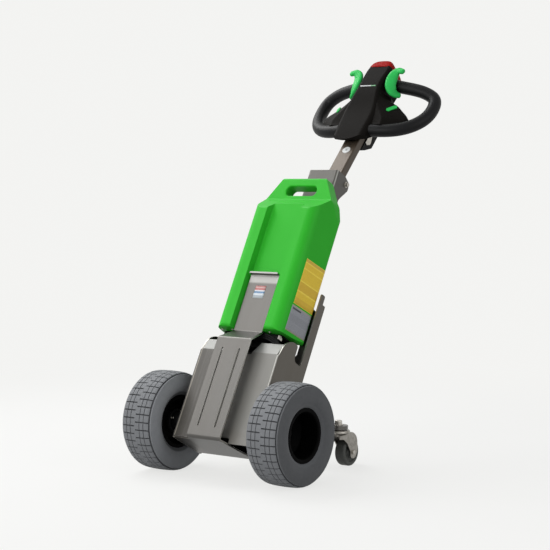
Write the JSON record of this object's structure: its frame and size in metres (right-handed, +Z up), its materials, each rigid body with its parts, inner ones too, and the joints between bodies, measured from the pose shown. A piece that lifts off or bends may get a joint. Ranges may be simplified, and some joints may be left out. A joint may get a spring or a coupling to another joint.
{
  "type": "electric tow tractor",
  "caption": "Walk-behind battery tug: driven wheels, leaning steel column with lift-off battery, hinged tiller with loop handle, swivel casters",
  "frame": {"origin": "on the floor under the middle of the tug's bounding box", "axes": "+X is the right-hand side as seen from ahead of the hitch, +Y runs from the hitch back to the handle, +Z is up"},
  "size_m": [0.539, 0.9786, 1.1841],
  "materials": {
    "black_paint": "black coat",
    "bright_steel": "zinc plated",
    "caster_tread": "dark grey-green elastic tread",
    "green_gloss": "smooth moulded",
    "green_plastic": "fine moulded grain",
    "grip_rubber": "soft matte grip",
    "head_plastic": "fine moulded grain",
    "red_plastic": "smooth moulded",
    "satin_steel": "warm satin stainless sheet",
    "tyre_grey": "grey non-marking rubber with a block tread",
    "wheel_black": "black powder coat"
  },
  "bodies": {
    "chassis": {"side_plate_right": "satin_steel", "side_plate_left": "satin_steel", "front_cover": "satin_steel", "hitch_bracket": "satin_steel", "floor_plate": "satin_steel", "back_plate": "satin_steel", "drive_unit": "black_paint", "axle_tube_right": "black_paint", "axle_tube_left": "black_paint", "battery_tray": "black_paint", "battery_socket": "black_paint", "mast": "satin_steel", "hinge_pin": "bright_steel", "caster_beam": "satin_steel", "caster_arm_right": "satin_steel", "caster_arm_left": "satin_steel", "kingpin_right": "bright_steel", "kingpin_left": "bright_steel"},
    "tiller": {"tiller_tube": "satin_steel", "head_housing": "head_plastic", "handle_loop": "grip_rubber", "head_socket": "black_paint", "red_button": "red_plastic", "paddle_right": "green_gloss", "paddle_left": "green_gloss", "horn_button_right": "green_gloss", "horn_button_left": "green_gloss"},
    "battery": {"battery_case": "green_plastic"},
    "wheel_left": {"tyre_left": "tyre_grey", "rim_left": "wheel_black", "hub_left": "wheel_black", "axle_shaft_left": "bright_steel"},
    "caster_left": {"caster_axle_left": "bright_steel", "caster_fork_left": "bright_steel"},
    "caster_roller_left": {"caster_wheel_left": "caster_tread"},
    "wheel_right": {"tyre_right": "tyre_grey", "rim_right": "wheel_black", "hub_right": "wheel_black", "axle_shaft_right": "bright_steel"},
    "caster_right": {"caster_axle_right": "bright_steel", "caster_fork_right": "bright_steel"},
    "caster_roller_right": {"caster_wheel_right": "caster_tread"}
  },
  "joints": [
    {"name": "wheel_left_spin", "type": "hinge", "parent": "chassis", "child": "wheel_left", "pos_m": [-0.216, -0.34735, 0.14], "axis": [1, 0, 0], "continuous": true},
    {"name": "wheel_right_spin", "type": "hinge", "parent": "chassis", "child": "wheel_right", "pos_m": [0.216, -0.34735, 0.14], "axis": [1, 0, 0], "continuous": true},
    {"name": "caster_left_swivel", "type": "hinge", "parent": "chassis", "child": "caster_left", "pos_m": [-0.16, -0.04035, 0.111], "axis": [0, 0, 1], "continuous": true},
    {"name": "caster_left_roll", "type": "hinge", "parent": "caster_left", "child": "caster_roller_left", "pos_m": [-0.16, 0.00165, 0.04], "axis": [1, 0, 0], "continuous": true},
    {"name": "caster_right_swivel", "type": "hinge", "parent": "chassis", "child": "caster_right", "pos_m": [0.16, -0.04035, 0.111], "axis": [0, 0, 1], "continuous": true},
    {"name": "caster_right_roll", "type": "hinge", "parent": "caster_right", "child": "caster_roller_right", "pos_m": [0.16, 0.00165, 0.04], "axis": [1, 0, 0], "continuous": true},
    {"name": "tiller_tilt", "type": "hinge", "parent": "chassis", "child": "tiller", "pos_m": [0, 0.15432, 0.80207], "axis": [1, 0, 0], "range_deg": [-35, 15]},
    {"name": "battery_lift_off", "type": "slide", "parent": "chassis", "child": "battery", "axis": [0, 0.4756, 0.8796], "range_m": [0, 0.19]}
  ]
}
